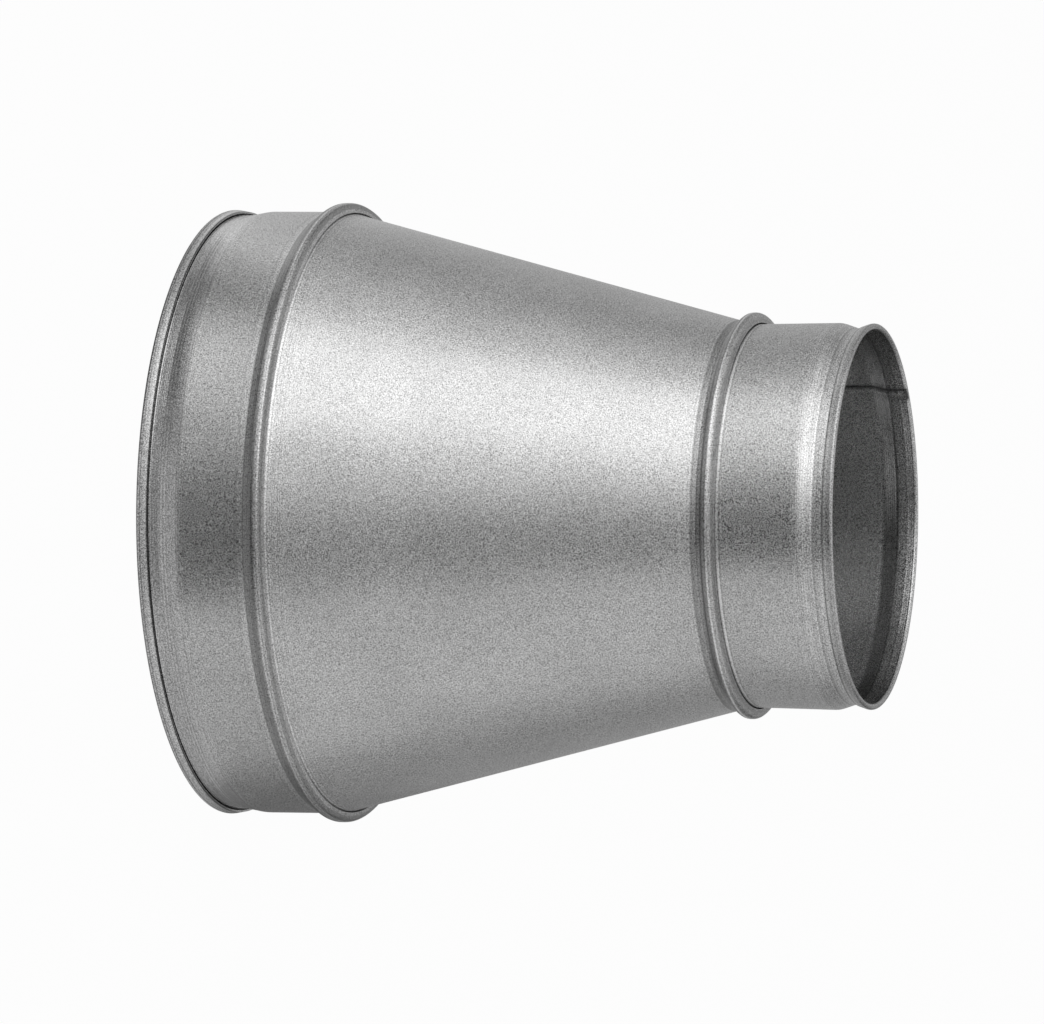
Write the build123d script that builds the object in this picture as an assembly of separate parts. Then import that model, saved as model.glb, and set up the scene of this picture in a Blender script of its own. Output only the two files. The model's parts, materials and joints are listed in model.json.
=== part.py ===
from build123d import *
import math
import os

# Driving dimensions, in millimetres and degrees.
# The collars slide into round ducts of nominal size 200 and 125.
large_collar_od = 198.4
small_collar_od = 124.2
insertion_depth = 38.0  # free length of each collar, from its end to the seam's face
cone_half_angle = 15.0
sheet = 0.6

# Each free end has an open hem, and a groove rolled in beside it.
hem_length = 3.5
hem_gap = 0.85
groove_floor = 3.9  # flat floor between the hem's cut edge and the taper
large_groove_depth = 1.1
small_groove_depth = 1.2
large_taper_angle = 9.5
small_taper_angle = 14.0

# Each lock seam is one sheet's edge folded over the flange of the next sheet.
large_seam_height = 2.9  # crown above the collar's outside
small_seam_height = 3.6
fold_gap = 1.3  # room left beside the flange inside the round fold
flange_tip_gap = 0.1  # flange's edge to the inside of the crown
cut_edge_gap = 1.0  # fold's cut edge to the wall below it

# Each sheet is closed by a lap along its length, on the inside, trimmed clear of the folds.
lap_width = 5.0
lap_end_gap = 1.0
large_lap_at = 100.0  # turn of each lap about the axis, from +X
cone_lap_at = 60.0
small_lap_at = 131.0

# A round crown is drawn with flats between these corners; any other bend is one corner.
outside_corners = 4
inside_corners = 2

# Sizes that follow from the ones above.
large_radius = large_collar_od / 2
small_radius = small_collar_od / 2
slope = math.radians(cone_half_angle)
crown_radius = (2 * sheet + fold_gap) / 2  # at the middle of the sheet

# The sheets are flush on the inside where their flanges meet, at these two heights.
large_joint = insertion_depth + sheet
small_joint = large_joint + (large_radius - small_radius) / math.tan(slope)
overall_length = small_joint + 2 * sheet + fold_gap + insertion_depth

# Distance from the axis to the corners of the cone's middle line, at its large and small ends.
cone_large_corner = large_radius - sheet + sheet / 2 * (1 / math.cos(slope) - math.tan(slope))
cone_small_corner = small_radius - sheet + sheet / 2 * (1 / math.cos(slope) + math.tan(slope))


def run(length):
    """A straight stretch of sheet."""
    return length, 0, 0


def bend(turn, radius=0):
    """A bend to the left by some degrees, or to the right if they are negative."""
    return 0, radius, turn


def face_points(start, heading, moves, offset):
    """Corners of one face of a sheet, at an offset to the left of the path that the moves follow."""
    point = start + Vector(0, offset).rotate(Axis.Z, heading)
    points = [point]
    straight = 0
    for length, radius, turn in moves:
        straight += length
        if turn == 0:
            continue
        face_radius = radius - math.copysign(offset, offset * turn)
        corners = 1
        if radius > 0:
            corners = outside_corners if face_radius > radius else inside_corners
        reach = face_radius * math.tan(math.radians(abs(turn)) / corners / 2)
        for _ in range(corners):
            point += Vector(straight + reach, 0).rotate(Axis.Z, heading)
            points.append(point)
            heading += turn / corners
            straight = reach
    points.append(point + Vector(straight, 0).rotate(Axis.Z, heading))
    return points


def section(start, heading, moves, left=sheet / 2, right=-sheet / 2):
    """Cut through a bent sheet: across is the distance from the axis, up is the height."""
    left_face = face_points(start, heading, moves, left)
    right_face = face_points(start, heading, moves, right)
    return Plane.XZ * Polygon(*left_face, *reversed(right_face), align=None)


def rolled(wall, lap, lap_at, radius):
    """A sheet rolled up about the axis, with its lap inside."""
    lap_angle = math.degrees(lap_width / radius)
    strip = Rot(0, 0, lap_at - lap_angle / 2) * revolve(lap, Axis.Z, lap_angle)
    return revolve(wall, Axis.Z) + strip


def lap_section(start, heading, wall):
    """Cut through a lap: it lies on the inside of a wall, trimmed back at both ends."""
    start += Vector(lap_end_gap, 0).rotate(Axis.Z, heading)
    return section(start, heading, [run(-lap_end_gap), *wall, run(-lap_end_gap)], 3 / 2 * sheet, 0)


def groove_taper(depth, angle):
    """Sloping run between the collar and the floor of its groove."""
    return run(depth / math.sin(math.radians(angle)))


def groove_height(depth, angle):
    """Height that the slope takes up along the axis."""
    return depth / math.tan(math.radians(angle))


def folded_edge(corner_radius, turn, crown_top, cut_edge):
    """Edge of a wall turned out into the seam, over the crown and back towards the wall beyond."""
    crown_start = crown_top - crown_radius - sheet / 2
    return [
        bend(-turn),
        run(crown_start - corner_radius),
        bend(180, crown_radius),
        run(crown_start - cut_edge),
    ]


def make_large_collar():
    wall_radius = large_radius - sheet / 2
    floor_radius = wall_radius - large_groove_depth
    floor_end = hem_length + groove_floor
    straight_start = floor_end + groove_height(large_groove_depth, large_taper_angle)
    cone_outside = large_radius - sheet + sheet / math.cos(slope) - (sheet + fold_gap) * math.tan(slope)
    hem = [run(hem_length - sheet / 2), bend(-90), run(hem_gap + sheet), bend(-90)]
    wall = [
        run(floor_end - sheet / 2),
        bend(-large_taper_angle),
        groove_taper(large_groove_depth, large_taper_angle),
        bend(large_taper_angle),
        run(large_joint - sheet / 2 - straight_start),
    ]
    edge = folded_edge(wall_radius, 90, large_radius + large_seam_height, cone_outside + cut_edge_gap)
    whole = section(Vector(floor_radius + sheet + hem_gap, hem_length), -90, hem + wall + edge)
    lap = lap_section(Vector(floor_radius, sheet / 2), 90, wall)
    return rolled(whole, lap, large_lap_at, large_radius)


def make_cone():
    tip = large_radius + large_seam_height - sheet - flange_tip_gap
    flange = [run(tip - cone_large_corner), bend(cone_half_angle - 90)]
    wall = [run((small_joint - large_joint - sheet) / math.cos(slope))]
    edge = folded_edge(
        cone_small_corner, 90 + cone_half_angle, small_radius + small_seam_height, small_radius + cut_edge_gap
    )
    whole = section(Vector(tip, large_joint + sheet / 2), 180, flange + wall + edge)
    lap = lap_section(Vector(cone_large_corner, large_joint + sheet / 2), 90 + cone_half_angle, wall)
    return rolled(whole, lap, cone_lap_at, large_radius)


def make_small_collar():
    wall_radius = small_radius - sheet / 2
    tip = small_radius + small_seam_height - sheet - flange_tip_gap
    wall_start = small_joint + sheet / 2
    floor_end = overall_length - hem_length - groove_floor
    straight_end = floor_end - groove_height(small_groove_depth, small_taper_angle)
    flange = [run(tip - wall_radius), bend(-90)]
    wall = [
        run(straight_end - wall_start),
        bend(small_taper_angle),
        groove_taper(small_groove_depth, small_taper_angle),
        bend(-small_taper_angle),
        run(overall_length - sheet / 2 - floor_end),
    ]
    hem = [bend(-90), run(hem_gap + sheet), bend(-90), run(hem_length - sheet / 2)]
    whole = section(Vector(tip, wall_start), 180, flange + wall + hem)
    lap = lap_section(Vector(wall_radius, wall_start), 90, wall)
    return rolled(whole, lap, small_lap_at, small_radius)


os.makedirs("parts", exist_ok=True)
export_step(make_large_collar(), "parts/large_collar.step")
export_step(make_cone(), "parts/cone.step")
export_step(make_small_collar(), "parts/small_collar.step")
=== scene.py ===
# %% [markdown]
# This lesson dresses a duct reducer, the plain fitting that joins a wide ventilation duct to a narrow
# one. Its solids come from a CAD program, at their true size and in their true place. They are loaded
# and measured first, because the pieces modelled here have to stay inside the box that they fill.

# %% Load the frame
import json
import math
import bpy
from mathutils import Matrix, Vector


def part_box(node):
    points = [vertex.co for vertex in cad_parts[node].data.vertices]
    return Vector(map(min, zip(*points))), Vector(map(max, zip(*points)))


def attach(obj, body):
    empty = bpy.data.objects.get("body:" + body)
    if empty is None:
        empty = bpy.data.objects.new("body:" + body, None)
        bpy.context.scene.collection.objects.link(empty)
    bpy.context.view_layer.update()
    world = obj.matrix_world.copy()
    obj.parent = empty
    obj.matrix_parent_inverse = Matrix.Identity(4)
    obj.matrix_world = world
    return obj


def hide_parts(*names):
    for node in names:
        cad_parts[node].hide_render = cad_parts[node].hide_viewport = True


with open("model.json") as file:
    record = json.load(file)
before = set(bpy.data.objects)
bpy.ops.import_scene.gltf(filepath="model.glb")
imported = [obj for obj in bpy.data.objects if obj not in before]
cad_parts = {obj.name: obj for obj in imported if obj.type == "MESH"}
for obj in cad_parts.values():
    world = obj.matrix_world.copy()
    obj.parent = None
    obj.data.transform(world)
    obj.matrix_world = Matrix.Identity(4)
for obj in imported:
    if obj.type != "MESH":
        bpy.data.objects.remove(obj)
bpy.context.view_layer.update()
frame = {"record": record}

# %% [markdown]
# The reducer is made of three sheets: a large collar, a cone and a small collar, each rolled from thin
# galvanised steel and locked to the next by a folded seam. It stands on its large end, with its axis
# along Z. The sizes that other parts depend on are read from the solids, so that the dressed sheets
# lie where the solids are. Sizes are in millimetres, as on a drawing, and become Blender's metres
# where a point is placed.

# %% Sizes from the solids
mm = 0.001
sheet = 0.6
half_sheet = sheet / 2

def box_mm(node):
    """Lowest and highest corner of a solid, in millimetres."""
    low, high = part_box(node)
    return low / mm, high / mm

mounts = {mount["name"]: mount for mount in frame["record"]["mounts"]}
large_radius = mounts["large_end"]["dims"]["r_mm"]
small_radius = mounts["small_end"]["dims"]["r_mm"]
large_low, large_high = box_mm("large_collar")
small_low, small_high = box_mm("small_collar")
large_seam = box_mm("cone")[0].z  # where the cone's flange lies on the large collar
small_seam = small_low.z  # where the small collar's flange lies on the cone
print("collars", large_radius, "and", small_radius, "mm in radius")
print("seams at heights of", round(large_seam, 2), "and", round(small_seam, 2), "mm")

# %% [markdown]
# A folded sheet is easiest to think of as the bent line that its edge shows. One vertex is extruded
# from corner to corner along the middle of the sheet, and each corner is then rounded with a vertex
# bevel, just as the rollers round each bend. A curve object could draw the same line, but the bevel
# gives every bend its own radius and keeps the straight runs as single edges.

# %% Round one corner of a line
bend_step = math.radians(11)
fewest_segments = 2
tiny = 0.001

def round_corner(line, before, here, after, bend):
    """Rounds the corner at one point of a line by a bend radius."""
    bpy.ops.mesh.select_all(action="DESELECT")
    bpy.ops.object.mode_set(mode="OBJECT")
    for vertex in line.data.vertices:
        vertex.select = (vertex.co - here).length < tiny * mm
    bpy.ops.object.mode_set(mode="EDIT")
    angle = (here - before).angle(after - here)
    reach = bend * math.tan(angle / 2)
    segments = max(fewest_segments, round(angle / bend_step))
    bpy.ops.mesh.bevel(offset=reach, segments=segments, affect="VERTICES", clamp_overlap=False)

print("a square corner is rounded in", round(math.pi / 2 / bend_step), "segments")

# %% Trace the line of a sheet
def place(radius, height, turn):
    """Point at a distance from the axis and a height, at a turn about the axis."""
    return Vector((radius * math.cos(turn), radius * math.sin(turn), height)) * mm

def trace(name, corners):
    """A line through corners, each given as distance from the axis, height and bend radius."""
    points = [place(radius, height, 0) for radius, height, _ in corners]
    bpy.ops.object.select_all(action="DESELECT")
    bpy.ops.mesh.primitive_plane_add(size=mm)
    line = bpy.context.object
    line.name = name
    bpy.ops.object.mode_set(mode="EDIT")
    bpy.ops.mesh.merge(type="CENTER")
    bpy.ops.transform.translate(value=points[0])
    for here, there in zip(points, points[1:]):
        bpy.ops.mesh.extrude_vertices_move(TRANSFORM_OT_translate={"value": there - here})
    for before, here, after, corner in zip(points, points[1:], points[2:], corners[1:]):
        round_corner(line, before, here, after, corner[2] * mm)
    bpy.ops.object.mode_set(mode="OBJECT")
    return line

print("a point on the large collar, in metres:", place(large_radius, large_seam, 0))

# %% [markdown]
# Rolling a sheet into a ring is a spin about the axis. A Screw modifier would do the same, but the
# spin can be looked at in edit mode at once. The spun shell has no thickness yet: doubles are merged,
# its faces are turned the same way, and a Solidify modifier grows the metal half to each side of the
# line. Both faces then stay parallel through every fold, as they do in real sheet.

# %% Spin a line into a rolled sheet
ring_steps = 288

def rolled(name, corners):
    """A sheet rolled into a full ring about the axis."""
    ring = trace(name, corners)
    bpy.ops.object.mode_set(mode="EDIT")
    bpy.ops.mesh.select_all(action="SELECT")
    bpy.ops.mesh.spin(steps=ring_steps, angle=2 * math.pi, center=(0, 0, 0), axis=(0, 0, 1))
    bpy.ops.mesh.select_all(action="SELECT")
    bpy.ops.mesh.remove_doubles(threshold=tiny * mm)
    bpy.ops.mesh.normals_make_consistent(inside=False)
    bpy.ops.object.mode_set(mode="OBJECT")
    metal = ring.modifiers.new("sheet", "SOLIDIFY")
    metal.thickness = sheet * mm
    metal.offset = 0
    metal.use_even_offset = True
    bpy.ops.object.modifier_apply(modifier=metal.name)
    print(name, len(ring.data.polygons), "faces")
    return ring

print("each ring is spun in", ring_steps, "steps of", 360 / ring_steps, "degrees")

# %% [markdown]
# The large collar starts at the cut edge of its hem. The sheet turns under the end, runs up the
# groove beside the hem and the long taper out of it, and on to the top of the plain wall. There it
# sweeps out, goes over the flange of the cone in a round crown and comes back down to a cut edge. It
# could be put together from tubes and rings, but one line keeps it in one piece, as the sheet is.

# %% Wall of the large collar
large_wall = large_radius - half_sheet
large_lean = 0.085
groove_depth, groove_lean = 1.1, 0.12
groove_start, groove_end, taper_end, sweep_start = 4.2, 7.3, 13.9, 34.9  # heights
groove_bend, taper_bend, wall_bend, sweep_bend = 3.0, 4.0, 8.0, 3.5

large_groove = large_wall - groove_depth
large_wall_line = [
    (large_groove + groove_lean, groove_start, groove_bend),
    (large_groove, groove_end, taper_bend),
    (large_wall + large_lean, taper_end, wall_bend),
    (large_wall - large_lean, sweep_start, sweep_bend),
]
print("floor of the large groove", round(large_groove, 2), "mm from the axis")

# %% Large collar with its hem and its fold
no_bend = 0  # at a cut edge
hem_edge_height, hem_edge_out = 3.67, 0.18
hem_out, hem_in, hem_bend = 0.82, 0.28, 0.5
neck_in, neck_bend = 1.2, 0.5
shoulder_drop, shoulder_bend = 0.05, 0.85
crown_room, crown_bend = 0.1, 1.15
fold_in, fold_rise = 0.2, 0.9

large_crown = large_high.x - half_sheet - crown_room
large_crown_end = large_high.z
large_collar = rolled("large_collar_sheet", [
    (large_wall + hem_edge_out, hem_edge_height, no_bend),
    (large_wall + hem_out, large_low.z + half_sheet, hem_bend),
    (large_wall - hem_in, large_low.z + half_sheet, hem_bend),
    *large_wall_line,
    (large_crown - neck_in, large_seam - half_sheet, neck_bend),
    (large_crown, large_seam - shoulder_drop, shoulder_bend),
    (large_crown, large_crown_end, crown_bend),
    (large_wall - fold_in, large_crown_end + fold_rise, no_bend),
])

# %% [markdown]
# The cone starts inside that fold with its flange, turns into the slope with a soft root, and at its
# small end is folded over the small collar's flange in the same way. A short strip beside the large
# seam is pressed a little steeper than the rest of the cone by the rollers that close the seam. A
# cone primitive would give the slope, but neither the flange nor the fold.

# %% Slope of the cone
cone_draft = 0.12
cone_slope = (large_radius - small_radius) / (small_seam - large_seam)

def cone_middle(height):
    """Distance from the axis to the middle of the cone's sheet."""
    half_across = half_sheet * math.hypot(1, cone_slope)
    return large_radius - cone_draft - (height - large_seam) * cone_slope - half_across

print("the cone closes in at", round(math.degrees(math.atan(cone_slope)), 1), "degrees")

# %% Cone with its flange and its fold
flange_room, flange_root_out, flange_bend = 0.5, 0.06, 2.0
strip_length, strip_bend = 2.7, 0.8
root_drop, root_bend = 1.86, 2.3
small_crown_out, small_crown_rise, small_crown_bend = 3.45, 1.39, 1.1
small_shoulder_drop, small_shoulder_bend = 0.76, 1.0
small_fold_out, small_fold_rise = 0.4, 2.24

small_crown = small_radius + small_crown_out
strip_end = large_crown_end + strip_length
small_root = small_seam - root_drop
cone_wall_line = [
    (cone_middle(strip_end), strip_end, strip_bend),
    (cone_middle(small_root), small_root, root_bend),
]
cone = rolled("cone_sheet", [
    (large_crown - half_sheet - flange_room, large_seam + sheet, no_bend),
    (large_wall + flange_root_out, large_seam + sheet, flange_bend),
    *cone_wall_line,
    (small_crown, small_seam - small_shoulder_drop, small_shoulder_bend),
    (small_crown, small_seam + small_crown_rise, small_crown_bend),
    (small_radius + small_fold_out, small_seam + small_fold_rise, no_bend),
])

# %% [markdown]
# The small collar runs from its flange up the wall, which opens very slightly, in through the taper
# to the groove, and round its hem. This hem is a round bead at the end, and its cut edge is pressed
# down into the groove, so it slopes more than the one on the large end. A scaled copy of the large
# collar would be quicker, but the sheet would then get thinner and the hem too slim.

# %% Wall of the small collar
small_wall = small_radius - half_sheet
small_end = small_high.z - half_sheet
flare_in, flare_out = 0.05, 0.35
small_groove_depth = 1.35
small_taper_drop, small_groove_drop, bead_root_drop = 11.26, 6.36, 3.5  # down from the end
small_flange_bend, small_wall_bend, small_groove_bend, bead_root_bend = 1.2, 5.0, 4.0, 2.0
bead_in, bead_bend = 0.14, 0.66

small_groove = small_wall - small_groove_depth
small_wall_line = [
    (small_wall - flare_in, small_seam + half_sheet, small_flange_bend),
    (small_wall + flare_out, small_end - small_taper_drop, small_wall_bend),
    (small_groove, small_end - small_groove_drop, small_groove_bend),
    (small_groove, small_end - bead_root_drop, bead_root_bend),
    (small_groove + bead_in, small_end, bead_bend),
]
print("floor of the small groove", round(small_groove, 2), "mm from the axis")

# %% Small collar with its flange and its hem
flange_tip_room = 0.1
bead_out = 0.4
bead_edge_in, bead_edge_drop = 0.63, 3.16

small_collar = rolled("small_collar_sheet", [
    (small_crown - half_sheet - flange_tip_room, small_seam + half_sheet, no_bend),
    *small_wall_line,
    (small_wall + bead_out, small_end, bead_bend),
    (small_wall - bead_edge_in, small_end - bead_edge_drop, no_bend),
])

# %% [markdown]
# Each sheet is closed along its length by a lap on the inside: the cut edge stands in from the wall
# by one sheet, and the end of the sheet runs out into the wall behind it. It could be a second strip
# joined on, but a few bisecting cuts and moved columns of vertices keep the ring one closed skin. A
# narrow trough beside the cut edge stands for the gap, and its points are marked in the gap attribute,
# through which the finish paints shade into the trough as a dark line.

# %% Select, cut and move
def select_only(piece):
    """Makes a piece the only one that operators act on."""
    bpy.ops.object.select_all(action="DESELECT")
    piece.select_set(True)
    bpy.context.view_layer.objects.active = piece

def cut_columns(ring, turn, offsets):
    """Cuts a ring lengthwise, at offsets beside a turn about the axis."""
    select_only(ring)
    bpy.ops.object.mode_set(mode="EDIT")
    across = place(1, 0, turn + math.pi / 2)
    for offset in offsets:
        bpy.ops.mesh.select_all(action="SELECT")
        bpy.ops.mesh.bisect(plane_co=across * offset, plane_no=across, threshold=tiny * mm)
    bpy.ops.object.mode_set(mode="OBJECT")

def move_chosen(piece, chosen, move):
    """Moves chosen vertices of a piece by a vector."""
    select_only(piece)
    bpy.ops.object.mode_set(mode="EDIT")
    bpy.ops.mesh.select_mode(type="VERT")
    bpy.ops.mesh.select_all(action="DESELECT")
    bpy.ops.object.mode_set(mode="OBJECT")
    for index in chosen:
        piece.data.vertices[index].select = True
    bpy.ops.object.mode_set(mode="EDIT")
    bpy.ops.transform.translate(value=move)
    bpy.ops.object.mode_set(mode="OBJECT")

print("points before the laps:", [len(ring.data.vertices) for ring in (large_collar, cone, small_collar)])

# %% Step of a lap
lap_reach = 5.7
lap_step = 0.08
lap_gap = 0.45
lap_trough = 0.25
angle_digits = 4

def line_radius(line, height):
    """Distance from the axis to a traced line at a height, or 0 beyond its ends."""
    for (radius, low, _), (next_radius, high, _) in zip(line, line[1:]):
        if low <= height <= high:
            return radius + (next_radius - radius) * (height - low) / (high - low)
    return 0.0

def lap(ring, line, turn):
    """Steps the inside of a ring in by one sheet at a cut edge, and runs the step out behind it."""
    cut_columns(ring, turn, (-lap_step, 0, lap_step, lap_gap, lap_gap + lap_step))
    gap = ring.data.attributes.new("gap", "FLOAT", "POINT")
    columns = {}
    for vertex in ring.data.vertices:
        radius = math.hypot(vertex.co.x, vertex.co.y) / mm
        angle = math.atan2(vertex.co.y, vertex.co.x)
        behind = (turn - angle) * radius
        inside = radius < line_radius(line, vertex.co.z / mm) - tiny
        if inside and -lap_gap - lap_step / 2 < behind < lap_reach:
            columns.setdefault(round(angle, angle_digits), []).append((behind, vertex.index))
            # marks the trough, where the finish paints shade as a dark line
            gap.data[vertex.index].value = behind < lap_step / 2
    for angle, members in columns.items():
        behind = sum(distance for distance, index in members) / len(members)
        step = lap_trough
        if behind > -lap_step / 2:
            step = -sheet * (1 - behind / lap_reach) ** 2
        move_chosen(ring, [index for distance, index in members], place(step, 0, angle))
    print(ring.name, "lap at", round(math.degrees(turn), 1), "degrees,", len(columns), "columns")

print("a lap is", lap_reach, "mm wide, with a gap of", lap_gap, "mm at its edge")

# %% Laps inside the sheets
large_lap, cone_lap, small_lap = (math.radians(turn) for turn in (101.4, 61.5, 133.6))
lap(large_collar, large_wall_line, large_lap)
lap(cone, cone_wall_line, cone_lap)
lap(small_collar, small_wall_line, small_lap)

# %% [markdown]
# Where the lap runs into the small hem, the doubled metal can't fold, so a short piece of the rim was
# notched out before rolling. A boolean could cut it, but would leave ragged faces on so thin a bead.
# Instead the top of the bead is pressed down there, between two pairs of lengthwise cuts, and the
# notch is marked in the gap attribute, so that the finish paints shade into it.

# %% Notch in the small rim
notch_length = 5.0
notch_depth = 0.5
notch_slope = 0.25
notch_in = 0.6
rim_depth = 0.9

notch_start = small_lap - notch_length / small_radius
notch_end = small_lap - notch_slope / small_radius
half_slope = notch_slope / small_radius / 2
for turn in (notch_start, notch_end):
    cut_columns(small_collar, turn, (0, notch_slope))
notched = []
for vertex in small_collar.data.vertices:
    angle = math.atan2(vertex.co.y, vertex.co.x)
    radius = math.hypot(vertex.co.x, vertex.co.y) / mm
    at_rim = vertex.co.z / mm > small_high.z - rim_depth and radius < small_wall - notch_in
    if notch_start + half_slope < angle < notch_end + half_slope and at_rim:
        notched.append(vertex.index)
        # the notch gets painted shade, through the gap attribute
        small_collar.data.attributes["gap"].data[vertex.index].value = 1.0
move_chosen(small_collar, notched, (0, 0, -notch_depth * mm))
print("notch of", len(notched), "points")

# %% [markdown]
# Hot-dip galvanised sheet is a satin grey metal with a fine, even grain and no large spangle. A
# picture of zinc could be laid on it, but would show where the sheet closes. Nodes on Object
# coordinates give a grain of the same size all over, with no seam. Three helpers save much typing:
# one makes any node, one carries a value from range to range, and one does sums.

# %% Node helpers
def wire(tree, kind, feeds, output=0, **settings):
    """A new node with its settings, each input linked or set, and the output that is wanted."""
    made = tree.nodes.new("ShaderNode" + kind)
    for name, setting in settings.items():
        setattr(made, name, setting)
    for name, feed in feeds.items():
        if isinstance(feed, bpy.types.NodeSocket):
            tree.links.new(feed, made.inputs[name])
        else:
            made.inputs[name].default_value = feed
    return made.outputs[output]

def fit(tree, value, low, high, to_low, to_high, **settings):
    """A value carried from one range to another, and held at the ends."""
    feeds = {"Value": value, "From Min": low, "From Max": high, "To Min": to_low, "To Max": to_high}
    return wire(tree, "MapRange", feeds, "Result", **settings)

def calc(tree, operation, *values):
    """Sum, product or the like of sockets and numbers."""
    return wire(tree, "Math", dict(enumerate(values)), operation=operation)

print("node helpers:", wire.__name__, fit.__name__, calc.__name__)

# %% [markdown]
# The grain shows in the zinc's tone and in its gloss: a pale grain is also a little rougher, so it
# still glints where the sheet mirrors something dark. Two noises could make the two, but only one
# noise keeps them in step. A second, wide and faint noise stands for the clouds in the zinc.

# %% Grain and clouds
grain_cells, grain_detail = 2700, 1  # cells in a metre
cloud_cells, cloud_detail = 42, 3
noise_span = (0.3, 0.7)
grain_tones, cloud_tones = (0.26, 1.0), (0.95, 1.05)
grain_roughness = (0.22, 0.46)

zinc = bpy.data.materials.new("galvanised_steel")
zinc.use_nodes = True
tree = zinc.node_tree
piece_spots = tree.nodes.new("ShaderNodeTexCoord")
spot = piece_spots.outputs["Object"]
grain = wire(tree, "TexNoise", {"Vector": spot, "Scale": grain_cells, "Detail": grain_detail}, "Fac")
clouds = wire(tree, "TexNoise", {"Vector": spot, "Scale": cloud_cells, "Detail": cloud_detail}, "Fac")
grain_tone = fit(tree, grain, *noise_span, *grain_tones)
cloud_tone = fit(tree, clouds, *noise_span, *cloud_tones)
roughness = fit(tree, grain, *noise_span, *grain_roughness)
print("grain of", round(1 / grain_cells / mm, 2), "mm, clouds of", round(1 / cloud_cells / mm), "mm")

# %% [markdown]
# The rollers that shape the hems and seams leave fine lines round the sheet, and only there. A wave
# texture could draw them, but too evenly. A noise in one dimension that reads the height alone gives
# lines of uneven strength that run right round.

# %% Roller lines
line_cells, line_detail = 1700, 2
line_span, line_tones = (0.35, 0.65), (0.8, 1.14)
roller_zones = [(0, 14.5), (33, 46), (172, 182), (205, 218)]  # heights
roller_fade = 2.0

def zone(tree, height, low, high, fade):
    """1 between two heights and 0 elsewhere, with soft ends."""
    up = fit(tree, height, (low - fade) * mm, low * mm, 0, 1)
    down = fit(tree, height, high * mm, (high + fade) * mm, 1, 0)
    return calc(tree, "MULTIPLY", up, down)

height = wire(tree, "SeparateXYZ", {"Vector": spot}, "Z")
line_feeds = {"W": height, "Scale": line_cells, "Detail": line_detail}
uneven = wire(tree, "TexNoise", line_feeds, "Fac", noise_dimensions="1D")
near_rollers, *others = [zone(tree, height, low, high, roller_fade) for low, high in roller_zones]
for other in others:
    near_rollers = calc(tree, "MAXIMUM", near_rollers, other)
lines = calc(tree, "MULTIPLY", fit(tree, uneven, *line_span, -1, 1), near_rollers)
line_tone = fit(tree, lines, -1, 1, *line_tones)
print("roller lines in", len(roller_zones), "zones")

# %% [markdown]
# Pale bands on the crests of the hems and seams are painted highlights, and dark bands in the roots
# of the seams and the gaps of the hems are painted shade. These bands lie at fixed heights all the
# way round, so a colour ramp along the height holds them. They could be painted by hand, but a ramp
# stays sharp at any size. Each stop is a height and a tone, and a tone of 1 leaves the zinc as it is.

# %% Heights and tones of the painted shade and highlight bands
large_hem_bands = [
    (0, 0.5), (0.5, 0.5), (0.65, 0.95), (1, 0.95), (1.1, 0.6), (1.35, 0.6), (1.5, 1.1), (3.35, 1.15),
    (3.45, 0.1), (3.75, 0.1), (3.85, 0.95), (4.1, 0.93), (6.7, 0.93), (6.95, 1), (13.3, 1.02), (14.2, 1),
]
large_seam_bands = [
    (34.1, 1), (34.5, 1.12), (35, 1.12), (35.4, 0.62), (38.1, 0.54), (39.55, 0.56), (39.75, 1.15),
    (40.15, 1.15), (40.35, 0.82), (41.1, 0.72), (41.4, 0.56), (41.85, 0.58), (42, 1.04), (42.6, 1.12),
    (43, 0.88), (43.3, 1.1), (44.2, 1),
]
small_seam_bands = [
    (171, 1), (171.3, 1.04), (171.6, 0.8), (172, 0.68), (172.3, 0.6), (175.7, 0.7), (175.85, 0.95),
    (176.15, 0.95), (176.35, 0.62), (177.1, 0.62), (177.3, 1.4), (177.7, 1.4), (177.95, 0.84),
    (179.2, 0.76), (179.5, 0.62), (179.75, 0.66), (179.95, 1.7), (180.45, 1.7), (180.75, 0.88), (181.3, 1),
]
small_hem_bands = [
    (210.3, 1), (210.8, 0.85), (211.6, 0.85), (212, 1.1), (213.9, 1.08), (214.05, 0.45), (214.4, 0.5),
    (214.6, 1.05), (215, 1.15), (215.5, 0.85), (215.9, 0.9), (216.2, 0.96), (217, 0.72),
]
# the four ramps of painted shade and painted highlights along the hems and seams
painted_light_bands = [large_hem_bands, large_seam_bands, small_seam_bands, small_hem_bands]
print("worn bands with", [len(bands) for bands in painted_light_bands], "stops")

# %% Painted shade and highlight bands
band_scale = 2.0  # a ramp's own levels stay below 1

def grey(level):
    """A grey colour."""
    return level, level, level, 1

def grey_ramp(tree, value, levels, interpolation):
    """Grey tone by a value from 0 to 1, through position and level pairs."""
    ramp = tree.nodes.new("ShaderNodeValToRGB")
    ramp.color_ramp.interpolation = interpolation
    stops = ramp.color_ramp.elements
    for position, level in levels:
        stop = stops[0] if position == 0 else stops[-1] if position == 1 else stops.new(position)
        stop.color = grey(level)
    tree.links.new(value, ramp.inputs["Fac"])
    return ramp.outputs["Color"]

def banded_tone(tree, height, bands):
    """Tone by height, through height and tone pairs."""
    low, high = bands[0][0], bands[-1][0]
    along = fit(tree, height, low * mm, high * mm, 0, 1)
    levels = [((stop - low) / (high - low), tone / band_scale) for stop, tone in bands]
    return fit(tree, grey_ramp(tree, along, levels, "LINEAR"), 0, 1, 0, band_scale)

# the painted shade and highlights of all four ramps, multiplied into one tone
painted_light_tone, *others = [banded_tone(tree, height, bands) for bands in painted_light_bands]
for other in others:
    painted_light_tone = calc(tree, "MULTIPLY", painted_light_tone, other)
print("nodes so far:", len(tree.nodes))

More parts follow.
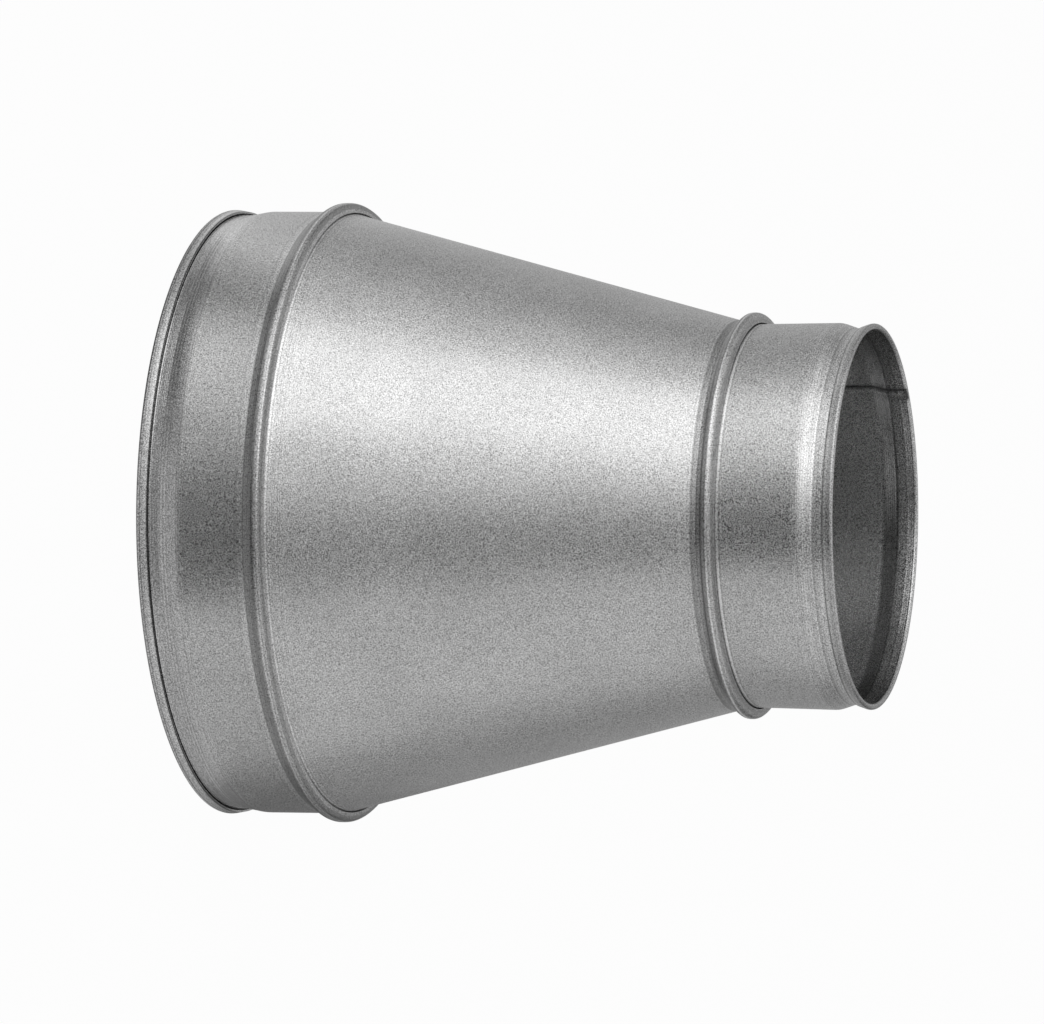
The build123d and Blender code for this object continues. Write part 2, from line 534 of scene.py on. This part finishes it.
# %% [markdown]
# The inside is handled less than the outside, so it keeps a smoother skin, and it has only one band
# of its own: painted shade where the small groove shades it. It could have a second material, but
# then every fold would need its faces sorted. A face is on the inside where its normal points towards
# the axis, and the material can tell that by itself.

# %% Inside of the sheets
# painted shade inside the small groove, by height
inner_bands = [(205.4, 1), (206.8, 0.5), (211, 0.5), (212, 1.06), (214.5, 1), (217, 0.8)]
inner_smoothness = 0.75
across_only = (1, 1, 0)
inward = (-0.01, 0)

def blend(tree, share, first, second):
    """Tone mixed from the first to the second by a share; each is a socket or a level."""
    tones = [grey(tone) if isinstance(tone, float) else tone for tone in (first, second)]
    return wire(tree, "MixRGB", {"Fac": share, "Color1": tones[0], "Color2": tones[1]}, "Color")

outward = wire(tree, "VectorMath", {0: spot, 1: across_only}, "Vector", operation="MULTIPLY")
facing = {0: outward, 1: piece_spots.outputs["Normal"]}
inside = fit(tree, wire(tree, "VectorMath", facing, "Value", operation="DOT_PRODUCT"), *inward, 1, 0)
band_tone = blend(tree, inside, painted_light_tone, banded_tone(tree, height, inner_bands))
print("the inside has", inner_smoothness, "of the outside's roughness")

# %% [markdown]
# Now the finish is put together. The tone is the product of grain, the bands of painted shade and
# painted highlights, the painted shade in the gaps, clouds and lines. The rolled groove at the large
# end is burnished by its roller, so it is glossier than the rest. The grain also goes into a bump of
# a few thousandths of a millimetre: as real relief it would take millions of faces.

# %% Galvanised steel
painted_gap_shade = 0.12
rolled_zone, rolled_fade, rolled_gloss = (4.1, 13.6), 0.3, 0.55
relief_depth = 0.008

# the gap attribute marks the laps' troughs and the rim's notch, which get painted shade
gap = wire(tree, "Attribute", {}, "Fac", attribute_name="gap")
tone = grain_tone
for factor in (band_tone, fit(tree, gap, 0, 1, 1, painted_gap_shade), cloud_tone, line_tone):
    tone = calc(tree, "MULTIPLY", tone, factor)
burnished = zone(tree, height, *rolled_zone, rolled_fade)
for share, factor in ((inside, inner_smoothness), (burnished, rolled_gloss)):
    roughness = calc(tree, "MULTIPLY", roughness, fit(tree, share, 0, 1, 1, factor))
relief = calc(tree, "ADD", grain, lines)
bump = wire(tree, "Bump", {"Strength": 1.0, "Distance": relief_depth * mm, "Height": relief}, "Normal")
shader = tree.nodes["Principled BSDF"].inputs
shader["Metallic"].default_value = 1.0
for name, socket in (("Base Color", tone), ("Roughness", roughness), ("Normal", bump)):
    tree.links.new(socket, shader[name])
print(zinc.name, len(tree.nodes), "nodes")

# %% [markdown]
# Each dressed sheet now takes the place of its own solid. All three ride on the one body of the part,
# because the seams are pressed tight and nothing moves. Smooth shading would blur the cut edges, and
# flat shading would show every step of the spin, so faces are smoothed only up to an angle.

# %% Put the sheets in the frame
smooth_angle = math.radians(40)
for piece, node in ((large_collar, "large_collar"), (cone, "cone"), (small_collar, "small_collar")):
    piece.data.materials.clear()
    piece.data.materials.append(zinc)
    select_only(piece)
    bpy.ops.object.shade_smooth_by_angle(angle=smooth_angle)
    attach(piece, "root")
    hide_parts(node)
    print(piece.name, "stands for", node)

# %% [markdown]
# Metal shows what stands round it, so the studio is drawn as rings of soft tones about the object:
# bright beside the main light, dark where the photographer stands, paler again on the other side and
# dim behind. Lamps alone could do this, but a gradient by bearing keeps every edge soft. Only metal
# and glass see the rings: to the camera the background is white.

# %% Ring of studio tones
full_turn = 360
camera_side = 0.5  # place of the camera's side along a ring
ring_turn = (0, 0, -math.pi / 2)

def studio_ring(tree, direction, tones, centre=(0, 0, 0)):
    """Soft tone by bearing about a centre, in degrees from the camera's side towards -X."""
    feeds = {"Vector": direction, "Location": centre, "Rotation": ring_turn}
    turned = wire(tree, "Mapping", feeds, "Vector", vector_type="TEXTURE")
    bearing = wire(tree, "TexGradient", {"Vector": turned}, "Fac", gradient_type="RADIAL")
    levels = [(camera_side - degrees / full_turn, level) for degrees, level in tones]
    return grey_ramp(tree, bearing, levels, "EASE")

def ray_kinds(tree):
    """Sockets that are 1 for camera rays, and 1 for rays that metal or glass sends on."""
    rays = tree.nodes.new("ShaderNodeLightPath").outputs
    mirrored = calc(tree, "MAXIMUM", rays["Is Glossy Ray"], rays["Is Transmission Ray"])
    return rays["Is Camera Ray"], mirrored

print("a bearing of 90 degrees lies at", camera_side - 90 / full_turn, "of a ring")

# %% [markdown]
# The floor is a plain pale plane under the large end, wide enough to reach past every view. A curved
# backdrop is usual in a studio, but against white its bend wouldn't show.

# %% Floor
floor_width, floor_cuts = 20, 3
bpy.ops.object.select_all(action="DESELECT")
bpy.ops.mesh.primitive_plane_add(size=floor_width)
floor = bpy.context.object
floor.name = "floor"
bpy.ops.object.mode_set(mode="EDIT")
bpy.ops.mesh.subdivide(number_cuts=floor_cuts)
bpy.ops.object.mode_set(mode="OBJECT")
print("floor", len(floor.data.polygons), "faces")

# %% [markdown]
# Each part of the object mirrors its own part of the floor: the large collar the floor near by, the
# small collar the floor farther off, the taper above the groove a strip at the foot, and the inside
# of the sheets the floor in the bore. So the floor has four rings of tones. Cards laid out on the
# floor would do the same in a real studio, but their edges would show in the metal.

# %% Tones of the floor, by bearing
near_tones = [
    (180, 0.45), (162, 0.65), (120, 0.6), (104, 0.8), (92, 0.53), (82, 0.27), (58, 0.86), (44, 0.78),
    (30, 0.5), (8, 0.19), (-14, 0.12), (-24, 0.17), (-40, 0.58), (-90, 0.5), (-108, 0.2), (-118, 0.14),
    (-150, 0.2), (-180, 0.45),
]
far_tones = [
    (180, 0.5), (142, 0.54), (122, 0.42), (104, 0.4), (60, 0.86), (30, 0.5), (8, 0.15),
    (-8, 0.07), (-18, 0.08), (-40, 0.69), (-85, 0.63), (-118, 0.36), (-150, 0.38), (-180, 0.5),
]
foot_tones = [
    (180, 0.45), (160, 0.58), (110, 0.5), (83, 0.24), (64, 0.17), (48, 0.19), (36, 0.28), (10, 0.46),
    (-50, 0.5), (-90, 0.46), (-140, 0.3), (-180, 0.45),
]
inner_tones = [
    (180, 0.54), (109, 0.48), (45, 0.6), (20, 0.13), (-12, 0.8), (-42, 1.7), (-75, 1.2), (-115, 1.0),
    (-180, 0.54),
]
print("floor rings with", [len(ring) for ring in (near_tones, far_tones, foot_tones, inner_tones)], "tones")

# %% Rings on the floor
ring_centre = (0, -large_radius * mm / 2, 0)
far_reach = (0.3, 0.5)  # metres from the axis
foot_centre, foot_reach = (0, -0.0188, 0), 0.101
foot_edge = (foot_reach * 0.99, foot_reach * 1.01)
core_tone, core_reach = 0.06, (0.06, 0.086)

pale = bpy.data.materials.new("pale_floor")
pale.use_nodes = True
tree = pale.node_tree
spot = tree.nodes.new("ShaderNodeTexCoord").outputs["Object"]
distance = wire(tree, "VectorMath", {0: spot}, "Value", operation="LENGTH")
foot_distance = wire(tree, "VectorMath", {0: spot, 1: foot_centre}, "Value", operation="DISTANCE")
near_ring = studio_ring(tree, spot, near_tones, ring_centre)
far_ring = studio_ring(tree, spot, far_tones, ring_centre)
foot_ring = studio_ring(tree, spot, foot_tones, ring_centre)
inner_ring = studio_ring(tree, spot, inner_tones)
open_floor = blend(tree, fit(tree, distance, *far_reach, 0, 1), near_ring, far_ring)
past_foot = fit(tree, foot_distance, *foot_edge, 0, 1, interpolation_type="SMOOTHSTEP")
outer = blend(tree, past_foot, foot_ring, open_floor)
inner = blend(tree, fit(tree, distance, *core_reach, 0, 1), core_tone, inner_ring)
outside = fit(tree, distance, large_groove * mm, large_radius * mm, 0, 1)
floor_tone = blend(tree, outside, inner, outer)
print("floor rings take", len(tree.nodes), "nodes")

# %% [markdown]
# A floor that only glowed white would lose the object's shadow, and one that was only painted would
# come out grey. So the floor mixes the two: to the camera it is nearly all white with a small share
# of paint, which keeps the shadow, and to metal it is mostly the rings.

# %% Floor paint
paint_level = 0.8
white = 1.0
camera_share, mirror_share = 0.97, 0.9

tree.nodes.remove(tree.nodes["Principled BSDF"])
to_camera, to_metal = ray_kinds(tree)
paint = wire(tree, "BsdfDiffuse", {"Color": grey(paint_level)}, "BSDF")
glow = wire(tree, "Emission", {"Color": blend(tree, to_camera, floor_tone, white)}, "Emission")
metal_share = calc(tree, "MULTIPLY", to_metal, mirror_share)
glow_share = calc(tree, "MULTIPLY_ADD", to_camera, camera_share, metal_share)
surface = wire(tree, "MixShader", {0: glow_share, 1: paint, 2: glow}, "Shader")
tree.links.new(surface, tree.nodes["Material Output"].inputs["Surface"])
floor.data.materials.append(pale)
print(pale.name, len(tree.nodes), "nodes")

# %% [markdown]
# The cone and the crowns of the seams lean back, so they mirror what stands above the floor. The
# world holds a ring of tones for the studio's walls and one for its ceiling, which is pale behind the
# object, and the height of a ray leads from one to the other. A panorama picture would do this too,
# but it would be a file beside the script. To all but metal and glass the world is an even light.

# %% Walls and ceiling of the studio
wall_tones = [
    (180, 0.42), (150, 0.4), (126, 0.32), (88, 0.78), (50, 0.84), (14, 0.78), (-8, 0.36), (-22, 0.3),
    (-36, 0.64), (-90, 0.64), (-106, 0.52), (-120, 0.27), (-132, 0.19), (-155, 0.14), (-180, 0.42),
]
ceiling_tones = [
    (180, 0.85), (110, 0.8), (50, 0.84), (14, 0.7), (-8, 0.4), (-22, 0.36), (-40, 0.64), (-110, 0.8),
    (-180, 0.85),
]
ceiling_rise = (0.4, 0.75)  # upward share of a ray
studio_level = 0.36

world = bpy.data.worlds.new("studio")
bpy.context.scene.world = world
world.use_nodes = True
tree = world.node_tree
direction = tree.nodes.new("ShaderNodeTexCoord").outputs["Generated"]
overhead = fit(tree, wire(tree, "SeparateXYZ", {"Vector": direction}, "Z"), *ceiling_rise, 0, 1)
wall_ring = studio_ring(tree, direction, wall_tones)
ceiling_ring = studio_ring(tree, direction, ceiling_tones)
to_camera, to_metal = ray_kinds(tree)
room_tone = blend(tree, to_metal, studio_level, blend(tree, overhead, wall_ring, ceiling_ring))
seen_tone = blend(tree, to_camera, room_tone, white)
tree.links.new(seen_tone, tree.nodes["Background"].inputs["Color"])
print(world.name, len(tree.nodes), "nodes")

# %% [markdown]
# Two softboxes on one side of the camera give the light its direction, and the floor a soft shadow. A
# sun lamp would be simpler, but metal shows the shape of each lamp, and only a broad panel leaves a
# broad, soft sheen. Each lamp's power follows from its size, so that its brightness stays as it is
# when the panel is made larger.

# %% Softboxes
def softbox(name, bearing, distance, height, width, tall, radiance):
    """A softbox facing the axis, at a bearing in degrees from the camera's side towards -X."""
    data = bpy.data.lights.new(name, "AREA")
    data.shape = "RECTANGLE"
    data.size = width
    data.size_y = tall
    data.energy = radiance * math.pi * width * tall
    lamp = bpy.data.objects.new(name, data)
    bpy.context.scene.collection.objects.link(lamp)
    turn = math.radians(bearing)
    lamp.location = (-distance * math.sin(turn), -distance * math.cos(turn), height)
    aim = Vector((0, 0, height)) - Vector(lamp.location)
    lamp.rotation_euler = aim.to_track_quat("-Z", "Y").to_euler()
    print(name, round(data.energy, 2), "W")

softbox("key_softbox", bearing=52, distance=1.25, height=0.62, width=1.0, tall=1.2, radiance=0.75)
softbox("fill_softbox", bearing=24, distance=0.7, height=0.55, width=0.3, tall=0.5, radiance=0.6)

# %% [markdown]
# The photograph shows the reducer lying across the picture, with its large end on the left. The
# object stands upright here, so the camera is turned on its side instead. It looks down a little from
# beyond the small end, two metres away and through a long lens, so the rims are nearly alike in
# shape. Its place and its small tilt and roll were worked out from the rims and the outline.

# %% Camera
image_width = 1044
focal_pixels = 6557.9
sensor_width = 36
view_limit = 100
camera_distance, camera_height = 2062.19, 693.66
camera_turn, camera_tilt, camera_roll = 0.2809, 0.0003, 0.0078

data = bpy.data.cameras.new("camera")
data.sensor_width = sensor_width
data.lens = focal_pixels / image_width * sensor_width
data.clip_end = view_limit
camera = bpy.data.objects.new("camera", data)
bpy.context.scene.collection.objects.link(camera)
on_its_side = Matrix(((0, -1, 0), (0, 0, -1), (1, 0, 0)))
turned = Matrix.Rotation(camera_turn, 3, "Y") @ Matrix.Rotation(camera_tilt, 3, "X")
camera.matrix_world = Matrix.LocRotScale(
    Vector((0, -camera_distance * mm, camera_height * mm)),
    on_its_side @ turned @ Matrix.Rotation(camera_roll, 3, "Z"),
    None,
)
bpy.context.scene.camera = camera
bpy.context.scene.view_settings.view_transform = "Standard"
print("lens of", round(data.lens), "mm, looking down by", round(math.degrees(camera_turn)), "degrees")
